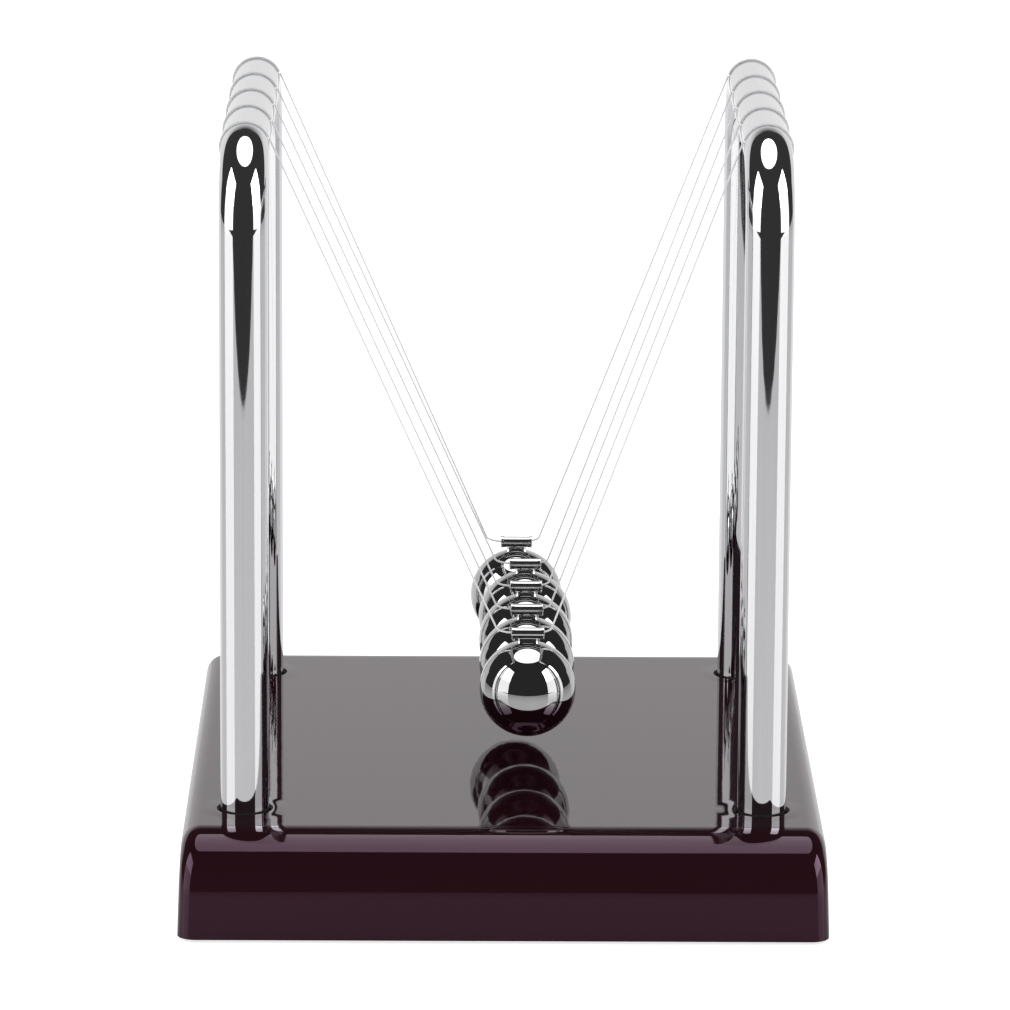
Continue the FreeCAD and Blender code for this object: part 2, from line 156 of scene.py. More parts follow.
def closed_mesh(name, *skins):
    """One mesh of closed skins, each given as its points and a list of face arrays.

    A skin's signed volume is a sixth of the sum of a . (b x c) over the triangles that a face's
    first corner makes with its other edges. Where the sum is negative, every face is turned over."""
    faces, start = [], 0
    for points, groups in skins:
        total = 0.0
        for group in groups:
            sides = np.cross(points[group[:, 1:-1]], points[group[:, 2:]])
            total += np.sum(points[group[:, :1]] * sides)
        order = 1 if total > 0 else -1
        for group in groups:
            faces += (start + group[:, ::order]).tolist()
        start += len(points)
    mesh = bpy.data.meshes.new(name)
    mesh.from_pydata(np.vstack([points for points, _ in skins]).tolist(), [], faces)
    mesh.shade_smooth()
    mesh.set_sharp_from_angle(angle=SHARP)
    return mesh


def grid_quads(rows, columns):
    """The point numbers of a sheet, counted along each row in turn, and its four-cornered faces."""
    index = np.arange(rows * columns).reshape(rows, columns)
    quads = np.stack([index[:-1, :-1], index[:-1, 1:], index[1:, 1:], index[1:, :-1]], axis=-1)
    return index, quads.reshape(-1, 4)


def ring_skin(rings, endless=False):
    """A skin over closed rings, given as an array of ring, corner and x y z.

    Corner j of ring i joins corner j + 1 and the same corners of ring i + 1. An endless skin joins
    its last ring to its first, and any other is closed by a fan from each end ring to its middle."""
    count, corners, _ = rings.shape
    index = np.arange(count * corners).reshape(count, corners)
    if endless:
        index = np.vstack([index, index[:1]])
    here, there = index[:-1], index[1:]
    quads = np.stack(
        [here, np.roll(here, -1, axis=1), np.roll(there, -1, axis=1), there], axis=-1
    ).reshape(-1, 4)
    points = rings.reshape(-1, 3)
    if endless:
        return points, [quads]
    middles = np.stack([rings[0].mean(axis=0), rings[-1].mean(axis=0)])
    first, last = index[0], index[-1]
    tip = count * corners
    start = np.stack([np.roll(first, -1), first, np.full(corners, tip)], axis=-1)
    end = np.stack([last, np.roll(last, -1), np.full(corners, tip + 1)], axis=-1)
    return np.vstack([points, middles]), [quads, start, end]


def turned(radii, heights, steps=ROUND_STEPS):
    """Rings of a turned shape about +Z: radius r at height h gives (r cos a, r sin a, h)."""
    angles = np.linspace(0, 2 * np.pi, steps, endpoint=False)
    radii, heights = np.asarray(radii, float), np.asarray(heights, float)
    across = radii[:, None] * np.cos(angles)
    along = radii[:, None] * np.sin(angles)
    return np.stack([across, along, np.broadcast_to(heights[:, None], across.shape)], axis=-1)


def carried(centres, side, other, radii, steps):
    """Rings of a round bar: centre + radius times (cos a times side + sin a times other)."""
    angles = np.linspace(0, 2 * np.pi, steps, endpoint=False)[None, :, None]
    spokes = np.cos(angles) * side[:, None, :] + np.sin(angles) * other[:, None, :]
    return centres[:, None, :] + np.asarray(radii)[:, None, None] * spokes


def new_piece(mesh, body, slot, finish, *nodes):
    """Puts a finished mesh in the scene as a piece that rides on a body and stands for nodes."""
    piece = bpy.data.objects.new(mesh.name, mesh)
    bpy.context.scene.collection.objects.link(piece)
    if finish is not None:
        mesh.materials.append(finish)
    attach(piece, body)
    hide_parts(*nodes)
    return piece


# ---------------------------------------------------------------- finishes


def linear(code, alpha=1.0):
    """A hex colour such as "#2A0C16" as the linear values that a shader takes."""
    levels = [int(code[place:place + 2], 16) / 255 for place in (1, 3, 5)]
    return (*[c / 12.92 if c <= 0.04045 else ((c + 0.055) / 1.055) ** 2.4 for c in levels], alpha)


def add(tree, kind, inputs=(), **settings):
    """Adds a node. inputs gives a socket's name or number a value or another node's output."""
    node = tree.nodes.new(kind)
    for name, value in settings.items():
        setattr(node, name, value)
    for socket, value in dict(inputs).items():
        if isinstance(value, bpy.types.NodeSocket):
            tree.links.new(value, node.inputs[socket])
        else:
            node.inputs[socket].default_value = value
    return node


def new_finish(name):
    """An empty material, its node tree and the place of each point on the object, in metres."""
    finish = bpy.data.materials.new(name)
    finish.use_nodes = True
    tree = finish.node_tree
    tree.nodes.clear()
    return finish, tree, add(tree, "ShaderNodeTexCoord").outputs["Object"]


def show(tree, shader):
    """Ends a finish with the shader that gives it its look."""
    add(tree, "ShaderNodeOutputMaterial", {"Surface": shader.outputs[0]})


def chrome_plate():
    """Bright chromium over nickel on a drawn steel rod. The plate copies the buffed steel below it, so
    the reflections waver a little, and faint draw lines run along the rod. A rod lies in a plane of
    constant X, so a pattern that changes only with X follows it round its bends."""
    finish, tree, place = new_finish("chrome_plate")
    across = add(
        tree,
        "ShaderNodeMapping",
        {"Vector": place, "Scale": (1 / (0.35 * MM), 1 / (90 * MM), 1 / (90 * MM))},
    )
    draw = add(tree, "ShaderNodeTexNoise", {"Vector": across.outputs[0], "Scale": 1.0, "Detail": 2.0})
    tone = add(
        tree,
        "ShaderNodeMix",
        {0: draw.outputs["Fac"], 6: linear("#CDCDCF"), 7: linear("#DADADC")},
        data_type="RGBA",
    )
    waver = add(tree, "ShaderNodeTexNoise", {"Vector": place, "Scale": 1 / (14 * MM), "Detail": 1.0})
    buffing = add(tree, "ShaderNodeTexNoise", {"Vector": place, "Scale": 1 / (0.9 * MM), "Detail": 3.0})
    gloss = add(
        tree,
        "ShaderNodeMapRange",
        {"Value": buffing.outputs["Fac"], "To Min": 0.018, "To Max": 0.05},
    )
    ripple = add(
        tree,
        "ShaderNodeBump",
        {"Height": waver.outputs["Fac"], "Strength": 0.35, "Distance": 0.05 * MM},
    )
    shader = add(
        tree,
        "ShaderNodeBsdfPrincipled",
        {
            "Base Color": tone.outputs[2],
            "Metallic": 1.0,
            "Roughness": gloss.outputs[0],
            "Normal": ripple.outputs[0],
        },
    )
    show(tree, shader)
    return finish


def ball_steel():
    """Hardened bearing steel, lapped to a mirror. It is a shade darker than the chromed rods, with the
    faintest haze where fingers and neighbouring balls have touched it."""
    finish, tree, place = new_finish("ball_steel")
    haze = add(tree, "ShaderNodeTexNoise", {"Vector": place, "Scale": 1 / (4 * MM), "Detail": 4.0})
    gloss = add(
        tree,
        "ShaderNodeMapRange",
        {"Value": haze.outputs["Fac"], "From Min": 0.4, "To Min": 0.02, "To Max": 0.055},
    )
    tone = add(
        tree,
        "ShaderNodeMix",
        {0: haze.outputs["Fac"], 6: linear("#A6A6A7"), 7: linear("#B4B4B5")},
        data_type="RGBA",
    )
    shader = add(
        tree,
        "ShaderNodeBsdfPrincipled",
        {"Base Color": tone.outputs[2], "Metallic": 1.0, "Roughness": gloss.outputs[0]},
    )
    show(tree, shader)
    return finish


def nickel_plate():
    """Nickel plate on a small cropped and welded tube. It is softer and a little warmer than the
    polished ball, and its surface is slightly uneven from the weld."""
    finish, tree, place = new_finish("nickel_plate")
    grain = add(tree, "ShaderNodeTexNoise", {"Vector": place, "Scale": 1 / (0.5 * MM), "Detail": 3.0})
    gloss = add(
        tree,
        "ShaderNodeMapRange",
        {"Value": grain.outputs["Fac"], "To Min": 0.05, "To Max": 0.12},
    )
    dent = add(
        tree,
        "ShaderNodeBump",
        {"Height": grain.outputs["Fac"], "Strength": 0.15, "Distance": 0.02 * MM},
    )
    shader = add(
        tree,
        "ShaderNodeBsdfPrincipled",
        {
            "Base Color": linear("#BEBEBE"),
            "Metallic": 1.0,
            "Roughness": gloss.outputs[0],
            "Normal": dent.outputs[0],
        },
    )
    show(tree, shader)
    return finish


def plum_lacquer():
    """Dark plum polyester lacquer over stained board, sprayed thick and buffed. A violet pearl in it
    tints what it mirrors head on, while a low view mirrors plain white. The surface has a faint
    orange peel, and it stands up in a low bead round each socket, where the wet lacquer gathered."""
    finish, tree, place = new_finish("plum_lacquer")
    stretch = add(
        tree,
        "ShaderNodeMapping",
        {"Vector": place, "Scale": (1 / (60 * MM), 1 / (9 * MM), 1 / (9 * MM))},
    )
    cloud = add(tree, "ShaderNodeTexNoise", {"Vector": stretch.outputs[0], "Scale": 1.0, "Detail": 4.0})
    tone = add(
        tree,
        "ShaderNodeMix",
        {0: cloud.outputs["Fac"], 6: linear("#1D0B0F"), 7: linear("#230D14")},
        data_type="RGBA",
    )
    flow = add(tree, "ShaderNodeTexNoise", {"Vector": place, "Scale": 1 / (3.5 * MM), "Detail": 1.0})
    peel = add(
        tree,
        "ShaderNodeBump",
        {"Height": flow.outputs["Fac"], "Strength": 0.3, "Distance": 0.02 * MM},
    )
    folded = add(tree, "ShaderNodeVectorMath", {0: place}, operation="ABSOLUTE")
    level = add(tree, "ShaderNodeVectorMath", {0: folded.outputs[0], 1: (1, 1, 0)}, operation="MULTIPLY")
    socket = (ROD_ACROSS, LEG_ALONG, 0)
    away = add(tree, "ShaderNodeVectorMath", {0: level.outputs[0], 1: socket}, operation="DISTANCE")
    bead = add(
        tree,
        "ShaderNodeMapRange",
        {
            "Value": away.outputs["Value"],
            "From Min": SOCKET_RADIUS,
            "From Max": SOCKET_RADIUS + BEAD_WIDTH,
            "To Min": 1.0,
            "To Max": 0.0,
        },
        interpolation_type="SMOOTHERSTEP",
    )
    surface = add(
        tree,
        "ShaderNodeBump",
        {
            "Height": bead.outputs[0],
            "Strength": 1.0,
            "Distance": BEAD_HEIGHT,
            "Normal": peel.outputs[0],
        },
    )
    shader = add(
        tree,
        "ShaderNodeBsdfPrincipled",
        {
            "Base Color": tone.outputs[2],
            "Roughness": 0.03,
            "IOR": 1.6,
            "Specular Tint": linear("#B992AF"),
            "Normal": surface.outputs[0],
        },
    )
    show(tree, shader)
    return finish


def bare_board():
    """Fibreboard inside the holes, cut by the drill and darkened by stain. It is matt and woolly."""
    finish, tree, place = new_finish("bare_board")
    fibre = add(tree, "ShaderNodeTexNoise", {"Vector": place, "Scale": 1 / (0.4 * MM), "Detail": 5.0})
    tone = add(
        tree,
        "ShaderNodeMix",
        {0: fibre.outputs["Fac"], 6: linear("#120B08"), 7: linear("#2E1F15")},
        data_type="RGBA",
    )
    wool = add(
        tree,
        "ShaderNodeBump",
        {"Height": fibre.outputs["Fac"], "Strength": 0.5, "Distance": 0.1 * MM},
    )
    shader = add(
        tree,
        "ShaderNodeBsdfPrincipled",
        {"Base Color": tone.outputs[2], "Roughness": 0.85, "Normal": wool.outputs[0]},
    )
    show(tree, shader)
    return finish


def clear_nylon():
    """Clear nylon monofilament. It is so thin that it reads as a pale grey thread, with a soft gleam
    along it and a slightly milky tone where it was stretched."""
    finish, tree, place = new_finish("clear_nylon")
    milk = add(tree, "ShaderNodeTexNoise", {"Vector": place, "Scale": 1 / (6 * MM), "Detail": 2.0})
    tone = add(
        tree,
        "ShaderNodeMix",
        {0: milk.outputs["Fac"], 6: linear("#CBCCCD"), 7: linear("#D5D6D7")},
        data_type="RGBA",
    )
    shader = add(
        tree,
        "ShaderNodeBsdfPrincipled",
        {
            "Base Color": tone.outputs[2],
            "Roughness": 0.25,
            "IOR": 1.53,
            "Specular IOR Level": 0.2,
        },
    )
    show(tree, shader)
    return finish


def black_rubber():
    """Moulded black rubber: matt, with a fine skin of talc that greys it a little."""
    finish, tree, place = new_finish("black_rubber")
    skin = add(tree, "ShaderNodeTexNoise", {"Vector": place, "Scale": 1 / (0.6 * MM), "Detail": 4.0})
    tone = add(
        tree,
        "ShaderNodeMix",
        {0: skin.outputs["Fac"], 6: linear("#141414"), 7: linear("#232323")},
        data_type="RGBA",
    )
    pores = add(
        tree,
        "ShaderNodeBump",
        {"Height": skin.outputs["Fac"], "Strength": 0.3, "Distance": 0.05 * MM},
    )
    shader = add(
        tree,
        "ShaderNodeBsdfPrincipled",
        {"Base Color": tone.outputs[2], "Roughness": 0.75, "Normal": pores.outputs[0]},
    )
    show(tree, shader)
    return finish


def bright_zinc():
    """Bright zinc plate on pressed and turned steel: grey-blue, satin, with a cloudy passivate."""
    finish, tree, place = new_finish("bright_zinc")
    cloud = add(tree, "ShaderNodeTexNoise", {"Vector": place, "Scale": 1 / (2 * MM), "Detail": 3.0})
    tone = add(
        tree,
        "ShaderNodeMix",
        {0: cloud.outputs["Fac"], 6: linear("#A9ADB2"), 7: linear("#C6CACE")},
        data_type="RGBA",
    )
    gloss = add(
        tree,
        "ShaderNodeMapRange",
        {"Value": cloud.outputs["Fac"], "To Min": 0.25, "To Max": 0.4},
    )
    shader = add(
        tree,
        "ShaderNodeBsdfPrincipled",
        {"Base Color": tone.outputs[2], "Metallic": 1.0, "Roughness": gloss.outputs[0]},
    )
    show(tree, shader)
    return finish


# ---------------------------------------------------------------- camera and lines


def make_camera():
    """A long lens that looks along the row of balls from the front, slightly down."""
    yaw, pitch, roll = CAMERA_YAW, CAMERA_PITCH, CAMERA_ROLL
    ahead = Vector(
        (math.sin(yaw) * math.cos(pitch), math.cos(yaw) * math.cos(pitch), -math.sin(pitch))
    )
    level = Vector((math.cos(yaw), -math.sin(yaw), 0))
    above = level.cross(ahead)
    right = math.cos(roll) * level + math.sin(roll) * above
    up = math.cos(roll) * above - math.sin(roll) * level
    camera = bpy.data.objects.new("camera", bpy.data.cameras.new("camera"))
    camera.data.sensor_width = SENSOR
    camera.data.lens = LENS
    camera.data.clip_start = 0.05
    camera.data.clip_end = 50
    turn = Matrix((right, up, -ahead)).transposed().to_4x4()
    spot = Matrix.Translation((-CAMERA_LEFT, -CAMERA_BACK, BASE_HIGH.z + CAMERA_ABOVE_BASE))
    camera.matrix_world = spot @ turn
    bpy.context.scene.collection.objects.link(camera)
    bpy.context.scene.camera = camera


def ball_place(number):
    """The centre of a ball."""
    low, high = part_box(f"ball_{number}")
    return (low + high) / 2


def line_corners(number):
    """The two places beside the tube where a line turns from level to its slope."""
    middle = ball_place(number)
    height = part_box(f"line_tube_{number}")[1].z - TUBE_RADIUS
    left = Vector((middle.x - TUBE_LENGTH / 2 - LEFT_LEAD, middle.y, height))
    right = Vector((middle.x + TUBE_LENGTH / 2 + RIGHT_LEAD, middle.y, height))
    return left, right


def leaves_rod(side, corner):
    """Where the straight line from a corner meets the wrap's circle round a rod.

    Returns the point, the direction up the line to it and the point's angle on the circle, from
    the level spoke on the inner side. The spoke to the point is square to the line."""
    centre = Vector((side * ROD_ACROSS, corner.y, BAR_HEIGHT))
    away = corner - centre
    lean = math.atan2(-side * away.x, -away.z) - math.asin(WRAP_RADIUS / away.length)
    spoke = Vector((-side * math.cos(lean), 0, math.sin(lean)))
    up = Vector((side * math.sin(lean), 0, math.cos(lean)))
    return centre + spoke * WRAP_RADIUS, up, lean


def make_line(number, finish):
    """A nylon line from just under the left wrap, through the tube, to just under the right wrap."""
    left, right = line_corners(number)
    left_top, left_up, _ = leaves_rod(-1, left)
    right_top, right_up, _ = leaves_rod(1, right)
    start = left_top - left_up * SWING_GAP
    end = right_top - right_up * SWING_GAP
    left_run = left + left_up * CORNER_HOLD
    right_run = right + right_up * CORNER_HOLD
    route = [start, left_run, left, right, right_run, end]
    curve = bpy.data.curves.new(f"nylon_line_{number}", "CURVE")
    curve.dimensions = "3D"
    curve.bevel_depth = LINE_RADIUS
    curve.bevel_resolution = 3
    curve.resolution_u = 16
    curve.use_fill_caps = True
    spline = curve.splines.new("NURBS")
    spline.points.add(len(route) - 1)
    spline.points.foreach_set("co", [value for point in route for value in (*point, 1.0)])
    spline.order_u = 3
    spline.use_endpoint_u = True
    curve.materials.append(finish)
    line = bpy.data.objects.new(curve.name, curve)
    bpy.context.scene.collection.objects.link(line)
    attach(line, f"pendulum_{number}")
    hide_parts(f"line_{number}")


def make_wrap(name, side, number, finish):
    """The line's end, wound on a rod: a round bar carried along an arc about the rod's centre."""
    corner = line_corners(number)[0 if side < 0 else 1]
    _, _, lean = leaves_rod(side, corner)
    angles = lean + np.linspace(0, WRAP_ANGLE, 2 * BEND_STEPS)
    spokes = np.stack([-side * np.cos(angles), 0 * angles, np.sin(angles)], axis=-1)
    centre = np.array([side * ROD_ACROSS, corner.y, BAR_HEIGHT])
    along = np.broadcast_to([0.0, 1.0, 0.0], spokes.shape)
    middles = centre + WRAP_RADIUS * spokes
    rings = carried(middles, spokes, along, LINE_RADIUS + 0 * angles, WRAP_STEPS)
    mesh = closed_mesh(f"nylon_{name}", ring_skin(rings))
    new_piece(mesh, "frame", "nylon_line", finish, name)


# ---------------------------------------------------------------- metal pieces


def make_rod(name, side, finish):
    """A round bar carried up a leg, round a bend, along the top and down again, with a bevelled foot
    and a tapped hole at each end.

    The bends are quarter circles, and each half is the other one turned about the bar's middle."""
    turn = np.linspace(0, np.pi / 2, BEND_STEPS)
    run_up = np.array(
        [
            (LEG_FOOT + THREAD_DEPTH, THREAD_RADIUS),
            (LEG_FOOT, THREAD_RADIUS),
            (LEG_FOOT, ROD_RADIUS - FOOT_BEVEL),
            (LEG_FOOT + FOOT_BEVEL, ROD_RADIUS),
            (LEG_FOOT + FOOT_BEVEL + HELD, ROD_RADIUS),
            (BAR_HEIGHT - ROD_BEND - HELD, ROD_RADIUS),
        ]
    )
    heights = np.concatenate(
        [run_up[:, 0], BAR_HEIGHT - ROD_BEND + ROD_BEND * np.sin(turn), [BAR_HEIGHT]]
    )
    alongs = np.concatenate(
        [
            np.full(len(run_up), -LEG_ALONG),
            -LEG_ALONG + ROD_BEND * (1 - np.cos(turn)),
            [-LEG_ALONG + ROD_BEND + HELD],
        ]
    )
    radii = np.concatenate([run_up[:, 1], np.full(BEND_STEPS + 1, ROD_RADIUS)])
    tilt = np.concatenate([np.zeros(len(run_up)), turn, [np.pi / 2]])
    alongs = np.concatenate([alongs, -alongs[::-1]])
    heights = np.concatenate([heights, heights[::-1]])
    radii = np.concatenate([radii, radii[::-1]])
    tilt = np.concatenate([tilt, np.pi - tilt[::-1]])
    centres = np.stack([np.full(len(alongs), side * ROD_ACROSS), alongs, heights], axis=-1)
    across = np.broadcast_to([1.0, 0.0, 0.0], centres.shape)
    outward = np.stack([0 * tilt, -np.cos(tilt), np.sin(tilt)], axis=-1)
    rings = carried(centres, across, outward, radii, ROUND_STEPS)
    mesh = closed_mesh(f"chromed_{name}", ring_skin(rings))
    new_piece(mesh, "frame", "chromed_rod", finish, name)


def make_ball(number, finish):
    """A turned shape whose radius and height follow a circle: R sin t and R cos t."""
    low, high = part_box(f"ball_{number}")
    radius = (high.z - low.z) / 2
    t = np.linspace(0, np.pi, BALL_STEPS + 1)[1:-1]
    rings = turned(radius * np.sin(t), radius * np.cos(t), 2 * BALL_STEPS)
    mesh = closed_mesh(f"steel_ball_{number}", ring_skin(rings + np.array((low + high) / 2)))
    new_piece(mesh, f"pendulum_{number}", "polished_steel", finish, f"ball_{number}")


def make_line_tube(number, finish):
    """The tube is a turned ring about X with a rolled lip at each end, and quarter circles round its
    edges. Its foot is a stack of oblongs whose corners are rounded by raising the cosine and the
    sine of the angle to a power below 1. They widen downwards by the cube of the way down, and the
    last one lies on the ball, at the height of the sphere over each of its points."""
    left, right = line_corners(number)
    ball_low, ball_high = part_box(f"ball_{number}")
    ball = np.array((ball_low + ball_high) / 2)
    ball_radius = (ball_high.z - ball_low.z) / 2
    centre = np.array([ball[0], ball[1], left.z])
    half = TUBE_LENGTH / 2
    waist = TUBE_RADIUS - TUBE_LIP_HEIGHT
    bend = np.linspace(0, np.pi / 2, TUBE_EDGE_STEPS)
    lip_in = half - TUBE_LIP
    outer = np.array(
        [
            (waist, 0.0),
            (waist, lip_in - TUBE_LIP / 2),
            (waist + TUBE_LIP_HEIGHT / 2, lip_in),
            (TUBE_RADIUS, lip_in + TUBE_LIP / 3),
        ]
    )
    edge_end = half - TUBE_EDGE_RADIUS
    down, out = TUBE_EDGE_RADIUS * np.cos(bend), TUBE_EDGE_RADIUS * np.sin(bend)
    edge = np.stack([TUBE_RADIUS - TUBE_EDGE_RADIUS + down, edge_end + out], axis=-1)
    mouth = np.stack([TUBE_BORE + TUBE_EDGE_RADIUS - out, edge_end + down], axis=-1)
    one_end = np.vstack([outer[1:], edge, mouth])
    profile = np.vstack([outer[:1], one_end, [(TUBE_BORE, 0.0)], one_end[::-1] * (1, -1)])
    tube = turned(profile[:, 0], profile[:, 1], TUBE_STEPS)[..., [2, 0, 1]] + centre

    levels = np.linspace(0, 1, FOOT_LEVELS)
    spread = FOOT_FLARE * levels**3
    angles = np.linspace(0, 2 * np.pi, TUBE_STEPS, endpoint=False)
    round_x = np.sign(np.cos(angles)) * np.abs(np.cos(angles)) ** FOOT_SQUARENESS
    round_y = np.sign(np.sin(angles)) * np.abs(np.sin(angles)) ** FOOT_SQUARENESS
    x = (FOOT_LENGTH / 2 + spread)[:, None] * round_x
    y = (FOOT_WIDTH / 2 + spread)[:, None] * round_y
    seat = ball[2] + np.sqrt(ball_radius**2 - x**2 - y**2) - FOOT_SINK
    z = left.z - waist * FOOT_TOP + (seat - left.z + waist * FOOT_TOP) * levels[:, None]
    foot = np.stack([x + ball[0], y + ball[1], z], axis=-1)
    mesh = closed_mesh(f"nickel_tube_{number}", ring_skin(tube, endless=True), ring_skin(foot))
    new_piece(mesh, f"pendulum_{number}", "plated_tube", finish, f"line_tube_{number}")


# ---------------------------------------------------------------- base


def side_outlines(insets):
    """The block seen from its side, as y and z, once for each inset towards the middle.

    It runs up the leaning front, round the nose by a quarter circle, over the flat top and down the
    back. The underside isn't inset."""
    turn = np.linspace(LEAN, np.pi / 2, NOSE_STEPS)[:, None]
    middle_z = BASE_HIGH.z - NOSE_RADIUS
    middle_y = (
        BASE_LOW.y + (middle_z - BASE_LOW.z) * math.tan(LEAN) + NOSE_RADIUS / math.cos(LEAN)
    )
    y = middle_y - (NOSE_RADIUS - insets) * np.cos(turn)
    z = middle_z + (NOSE_RADIUS - insets) * np.sin(turn)
    foot_y = BASE_LOW.y + insets / math.cos(LEAN)
    y = np.vstack([foot_y, y[0] - HELD * math.sin(LEAN), y, y[-1] + HELD])
    z = np.vstack([BASE_LOW.z + 0 * insets, z[0] - HELD, z, z[-1]])
    return np.vstack([y, -y[::-1]]), np.vstack([z, z[::-1]])


def make_base(lacquer, fibre):
    """The side outline carried across from left to right. Near each end it shrinks along a quarter
    circle, which rounds the edges of the side faces, and the sides lean in towards the top.

    The sockets and the screw holes are turned shapes that are cut away."""
    turn = np.linspace(0, np.pi / 2, EDGE_STEPS)
    half = BASE_HIGH.x
    across = np.concatenate(
        [[0, half - SIDE_RADIUS - HELD], half - SIDE_RADIUS + SIDE_RADIUS * np.sin(turn), [half]]
    )
    insets = np.concatenate([[0, 0], SIDE_RADIUS * (1 - np.cos(turn)), [SIDE_RADIUS + HELD]])
    across = np.concatenate([-across[:0:-1], across])
    insets = np.concatenate([insets[:0:-1], insets])
    y, z = side_outlines(insets)
    narrowing = 1 - (z - BASE_LOW.z) * math.tan(LEAN) / half
    index, quads = grid_quads(*y.shape)
    under = np.concatenate([index[0, ::-1], index[-1]])[None]
    points = np.stack([across * narrowing, y, z], axis=-1).reshape(-1, 3)
    skin = points, [quads, index[None, :, 0], index[None, ::-1, -1], under]
    block = bpy.data.objects.new("lacquered_block", closed_mesh("lacquered_block", skin))
    block.data.materials.append(lacquer)
    block.data.materials.append(fibre)
    bpy.context.scene.collection.objects.link(block)

    top, floor = BASE_HIGH.z, BASE_LOW.z
    through = [
        (POCKET_RADIUS, floor - MM),
        (POCKET_RADIUS, floor + POCKET_DEPTH),
        (SCREW_HOLE_RADIUS, floor + POCKET_DEPTH),
        (SCREW_HOLE_RADIUS, LEG_FOOT),
        (SOCKET_RADIUS, LEG_FOOT),
        (SOCKET_RADIUS, top - SOCKET_BEVEL),
        (SOCKET_RADIUS + SOCKET_BEVEL + MM, top + MM),
    ]
    drill = turned(*np.array(through).T)
    for x in (-ROD_ACROSS, ROD_ACROSS):
        for y in (-LEG_ALONG, LEG_ALONG):
            mesh = closed_mesh("drill", ring_skin(drill + np.array([x, y, 0])))
            mesh.materials.append(lacquer)
            mesh.materials.append(fibre)
            mesh.polygons.foreach_set("material_index", np.ones(len(mesh.polygons), np.int32))
            cutter = bpy.data.objects.new("drill", mesh)
            bpy.context.scene.collection.objects.link(cutter)
            cut = block.modifiers.new("hole", "BOOLEAN")
            cut.object = cutter
            cut.solver = "EXACT"
            bpy.context.view_layer.update()
            view = bpy.context.evaluated_depsgraph_get()
            drilled = bpy.data.meshes.new_from_object(block.evaluated_get(view))
            block.modifiers.clear()
            block.data = drilled
            bpy.data.objects.remove(cutter)
    drilled = block.data
    bpy.data.objects.remove(block)
    drilled.name = "lacquered_base"
    drilled.shade_smooth()
    drilled.set_sharp_from_angle(angle=SHARP)
    new_piece(drilled, "frame", "lacquered_wood", None, "base")


# ---------------------------------------------------------------- studio


def stage_sheet(name, points, finish, sees):
    """A stage surface over a grid of points, shown only to the kinds of ray that are named."""
    _, quads = grid_quads(*points.shape[:2])
    mesh = bpy.data.meshes.new(name)
    mesh.from_pydata(points.reshape(-1, 3).tolist(), [], quads.tolist())
    mesh.materials.append(finish)
    mesh.shade_smooth()
    sheet = bpy.data.objects.new(name, mesh)
    bpy.context.scene.collection.objects.link(sheet)
    for ray in ("camera", "diffuse", "glossy", "transmission", "volume_scatter", "shadow"):
        setattr(sheet, f"visible_{ray}", ray in sees)


def glow(name, strength):
    """A plain sheet that gives off white light."""
    finish, tree, _ = new_finish(name)
    show(tree, add(tree, "ShaderNodeEmission", {"Strength": strength}))
    return finish


def fading_glow():
    """White paper that gives off less and less light from a little above the table upwards."""
    finish, tree, place = new_finish("backdrop_paper")
    height = add(tree, "ShaderNodeSeparateXYZ", {"Vector": place}).outputs["Z"]
    fade = {
        "Value": height,
        "From Min": FADE_START,
        "From Max": FADE_END,
        "To Min": BACKDROP_GLOW,
        "To Max": ROOM_GLOW,
    }
    level = add(tree, "ShaderNodeMapRange", fade)
    show(tree, add(tree, "ShaderNodeEmission", {"Strength": level.outputs[0]}))
    return finish


def board(name, code, roughness, sheen=0.12, burn=0.0):
    """A plain pale board. sheen is its specular level, and burn adds light of its own."""
    finish, tree, _ = new_finish(name)
    colour = {"Base Color": linear(code), "Roughness": roughness, "Specular IOR Level": sheen}
    light = {"Emission Color": linear("#FFFFFF"), "Emission Strength": burn}
    show(tree, add(tree, "ShaderNodeBsdfPrincipled", colour | light))
    return finish


def soft_box(name, compass, width, head_glow):
    """An upright soft box that faces the cradle and stands on the table's level.

    Its foot is dimmed, so that a low view over the glossy base doesn't mirror plain white."""
    way = math.radians(compass)
    for part, low, high, glow_level in (
        ("foot", 0, BOX_DIM_HEIGHT, BOX_FOOT_GLOW),
        ("head", BOX_DIM_HEIGHT, BOX_HEIGHT, head_glow),
    ):
        light = bpy.data.lights.new(f"{name}_{part}", "AREA")
        light.shape = "RECTANGLE"
        light.size, light.size_y = width, high - low
        light.energy = glow_level * math.pi * width * (high - low)
        lamp = bpy.data.objects.new(light.name, light)
        across, back = BOX_REACH * math.sin(way), -BOX_REACH * math.cos(way)
        lamp.location = (across, back, (low + high) / 2)
        lamp.rotation_euler = (math.pi / 2, 0, way)
        lamp.visible_camera = False
        lamp.visible_diffuse = False
        bpy.context.scene.collection.objects.link(lamp)


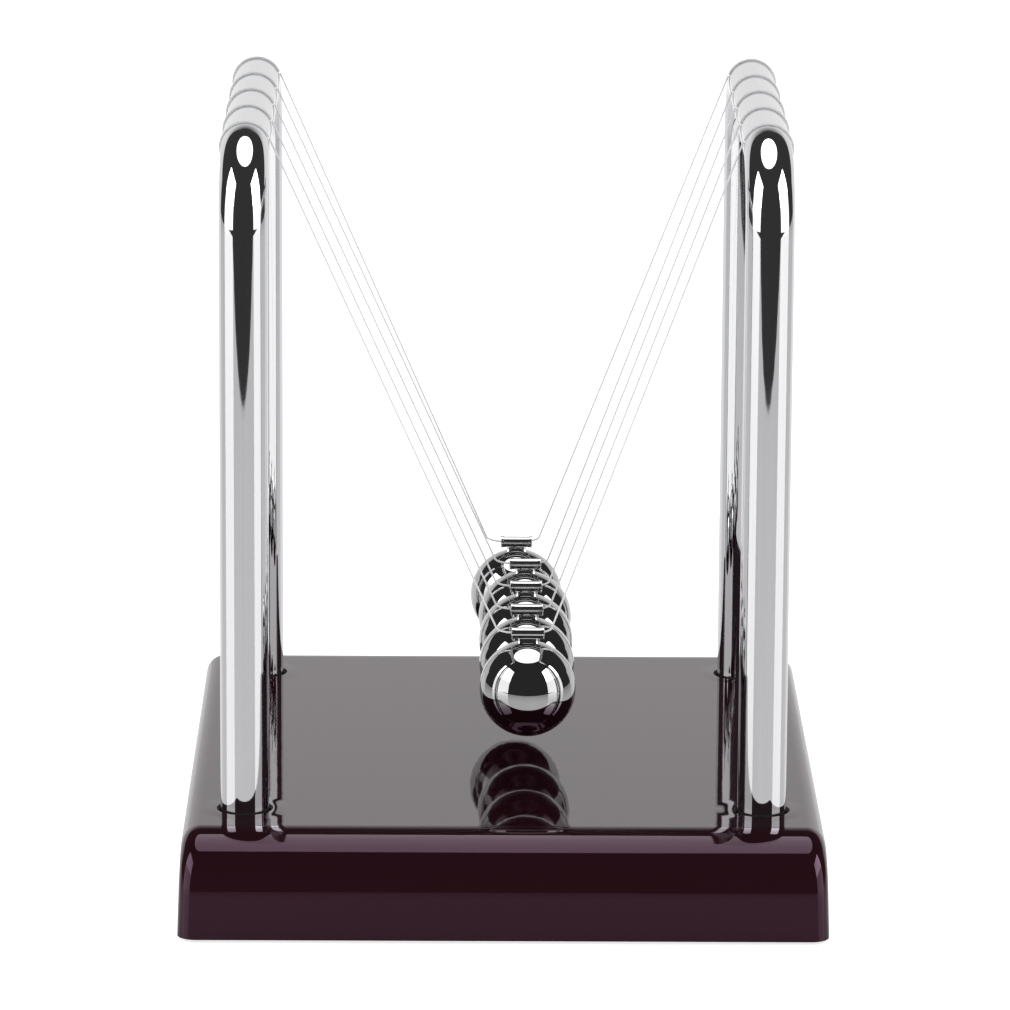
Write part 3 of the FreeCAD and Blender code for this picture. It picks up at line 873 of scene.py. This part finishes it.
def make_studio():
    """A white room: a pale floor, a backdrop, two tall soft boxes and a round lamp overhead."""
    world = bpy.data.worlds.new("white_room")
    world.use_nodes = True
    sky = world.node_tree.nodes["Background"]
    sky.inputs["Color"].default_value = (1, 1, 1, 1)
    sky.inputs["Strength"].default_value = SKY
    bpy.context.scene.world = world
    bpy.context.scene.view_settings.view_transform = "Standard"

    corner = np.array([-FLOOR_REACH, FLOOR_REACH])
    x, y = np.meshgrid(corner, corner)
    floor = np.stack([x, y, 0 * x - FLOOR_DROP], axis=-1)
    pale = board("pale_floor_paint", "#F0F0F0", 0.9, burn=0.75)
    stage_sheet("floor", floor, pale, ("camera", "diffuse", "transmission", "shadow"))

    # A white laminate table top with a straight front edge, seen only in the metal and the lacquer.
    x, y = np.meshgrid(np.array([-TABLE_SIDE, TABLE_SIDE]), np.array([TABLE_FRONT, TABLE_BACK]))
    table = np.stack([x, y, 0 * x], axis=-1)
    laminate = board("white_laminate", "#E6E6E6", 0.12, sheen=0.5, burn=0.16)
    stage_sheet("table_top", table, laminate, ("glossy",))

    # A dim room round the set, seen only in reflections.
    around, up = np.meshgrid(np.linspace(0, 2 * np.pi, 65), np.linspace(-np.pi / 2, np.pi / 2, 33))
    room = ROOM_RADIUS * np.stack(
        [np.cos(up) * np.cos(around), np.cos(up) * np.sin(around), np.sin(up)], axis=-1
    )
    stage_sheet("dim_room", room, glow("dim_room_wall", ROOM_GLOW), ("glossy",))

    # A curved white backdrop behind the cradle, which fades into the dark towards its top. It is
    # cut to an arch: its height falls from the middle to each end by the power 1.5 of the way.
    spread = np.radians(np.linspace(-BACKDROP_SPREAD, BACKDROP_SPREAD, BACKDROP_SPREAD + 1))
    way_in = 1 - np.abs(spread) / np.radians(BACKDROP_SPREAD)
    top = BACKDROP_END_HEIGHT + BACKDROP_RISE * way_in**1.5
    around, up = np.stack([spread, spread]), np.stack([0 * top + BACKDROP_FOOT, top])
    backdrop = np.stack(
        [BACKDROP_RADIUS * np.sin(around), BACKDROP_RADIUS * np.cos(around), up], axis=-1
    )
    stage_sheet("backdrop", backdrop, fading_glow(), ("glossy",))

    soft_box("left_soft_box", LEFT_BOX_COMPASS, LEFT_BOX_WIDTH, LEFT_BOX_GLOW)
    soft_box("right_soft_box", RIGHT_BOX_COMPASS, RIGHT_BOX_WIDTH, RIGHT_BOX_GLOW)

    lamp = bpy.data.lights.new("overhead_lamp", "AREA")
    lamp.shape = "DISK"
    lamp.size = LAMP_SIZE
    lamp.energy = LAMP_GLOW * math.pi * math.pi * (lamp.size / 2) ** 2
    overhead = bpy.data.objects.new("overhead_lamp", lamp)
    overhead.location = LAMP_PLACE
    overhead.visible_camera = False
    overhead.visible_diffuse = False
    bpy.context.scene.collection.objects.link(overhead)


make_camera()

nylon = clear_nylon()
for ball_number in range(1, BALLS + 1):
    make_line(ball_number, nylon)
    make_wrap(f"left_wrap_{ball_number}", -1, ball_number, nylon)
    make_wrap(f"right_wrap_{ball_number}", 1, ball_number, nylon)

chrome = chrome_plate()
make_rod("left_rod", -1, chrome)
make_rod("right_rod", 1, chrome)

steel, nickel = ball_steel(), nickel_plate()
for ball_number in range(1, BALLS + 1):
    make_ball(ball_number, steel)
    make_line_tube(ball_number, nickel)

make_base(plum_lacquer(), bare_board())

rubber, zinc = black_rubber(), bright_zinc()
for node, finish in (("foot_pads", rubber), ("leg_screws", zinc), ("leg_washers", zinc)):
    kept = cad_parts[node]
    kept.data.materials.clear()
    kept.data.materials.append(finish)

make_studio()
